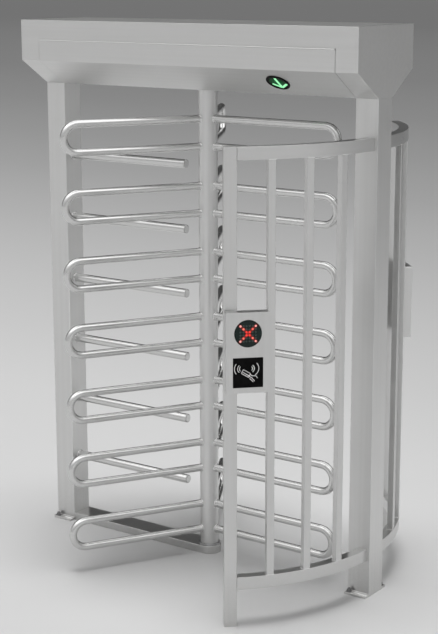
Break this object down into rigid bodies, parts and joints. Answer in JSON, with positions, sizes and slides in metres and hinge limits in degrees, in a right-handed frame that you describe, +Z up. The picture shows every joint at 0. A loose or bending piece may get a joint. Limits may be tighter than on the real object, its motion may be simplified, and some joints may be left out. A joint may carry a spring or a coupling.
{
  "type": "full height turnstile",
  "caption": "Full height security turnstile: a three-wing rotor of U-shaped arms turns between a comb of straight bars and two curved barred cages, under a box canopy.",
  "frame": {"origin": "on the ground, on the rotor's vertical axis, midway between the two posts", "axes": "+X along the canopy towards the post that carries the cages, +Y towards the rear (exit) side, +Z up along the rotor's axis"},
  "size_m": [1.686, 1.3332, 2.3],
  "materials": {
    "stainless": "satin brushed stainless steel",
    "dark_steel": "blackened hardened steel",
    "bearing_steel": "turned bearing steel",
    "zinc_plate": "zinc-plated steel",
    "green_lens": "smoked green plastic over an arrow of lamps",
    "display_lens": "smoked clear plastic over a ring of red lamps",
    "reader_black": "satin black plastic"
  },
  "bodies": {
    "frame": {"left_post": "stainless", "right_post": "stainless", "base_beam": "stainless", "bottom_bearing": "bearing_steel", "comb_bar_1": "stainless", "comb_bar_2": "stainless", "comb_bar_3": "stainless", "comb_bar_4": "stainless", "comb_bar_5": "stainless", "comb_bar_6": "stainless", "canopy_casing": "stainless", "top_bearing": "bearing_steel", "lock_plate": "zinc_plate", "front_cage_top_rail": "stainless", "front_cage_bottom_rail": "stainless", "front_cage_end_post": "stainless", "front_cage_bar_1": "stainless", "front_cage_bar_2": "stainless", "front_cage_bar_3": "stainless", "front_reader_housing": "stainless", "front_status_display": "display_lens", "front_reader_pad": "reader_black", "rear_cage_top_rail": "stainless", "rear_cage_bottom_rail": "stainless", "rear_cage_end_post": "stainless", "rear_cage_bar_1": "stainless", "rear_cage_bar_2": "stainless", "rear_cage_bar_3": "stainless", "rear_reader_housing": "stainless", "rear_status_display": "display_lens", "rear_reader_pad": "reader_black"},
    "rotor": {"rotor_column": "stainless", "index_cam": "dark_steel", "rotor_arm_a1": "stainless", "rotor_arm_a2": "stainless", "rotor_arm_a3": "stainless", "rotor_arm_a4": "stainless", "rotor_arm_a5": "stainless", "rotor_arm_a6": "stainless", "rotor_arm_a7": "stainless", "rotor_arm_b1": "stainless", "rotor_arm_b2": "stainless", "rotor_arm_b3": "stainless", "rotor_arm_b4": "stainless", "rotor_arm_b5": "stainless", "rotor_arm_b6": "stainless", "rotor_arm_b7": "stainless", "rotor_arm_c1": "stainless", "rotor_arm_c2": "stainless", "rotor_arm_c3": "stainless", "rotor_arm_c4": "stainless", "rotor_arm_c5": "stainless", "rotor_arm_c6": "stainless", "rotor_arm_c7": "stainless"},
    "front_door": {"front_access_door": "stainless", "front_direction_lens": "green_lens"},
    "rear_door": {"rear_access_door": "stainless", "rear_direction_lens": "green_lens"},
    "entry_pawl": {"entry_lock_pawl": "dark_steel"},
    "exit_pawl": {"exit_lock_pawl": "dark_steel"}
  },
  "joints": [
    {"name": "rotor_spin", "type": "hinge", "parent": "frame", "child": "rotor", "pos_m": [0, 0, 1], "axis": [0, 0, 1], "continuous": true},
    {"name": "front_door_hinge", "type": "hinge", "parent": "frame", "child": "front_door", "pos_m": [0, -0.21, 2.215], "axis": [-1, 0, 0], "range_deg": [0, 75]},
    {"name": "rear_door_hinge", "type": "hinge", "parent": "frame", "child": "rear_door", "pos_m": [0, 0.21, 2.215], "axis": [1, 0, 0], "range_deg": [0, 75]},
    {"name": "entry_pawl_pivot", "type": "hinge", "parent": "frame", "child": "entry_pawl", "pos_m": [-0.128, -0.03, 2.077], "axis": [0, 0, 1], "range_deg": [0, 12], "stiffness_Nm_per_rad": 0.5},
    {"name": "exit_pawl_pivot", "type": "hinge", "parent": "frame", "child": "exit_pawl", "pos_m": [0.128, 0.03, 2.077], "axis": [0, 0, 1], "range_deg": [0, 12], "stiffness_Nm_per_rad": 0.5}
  ]
}
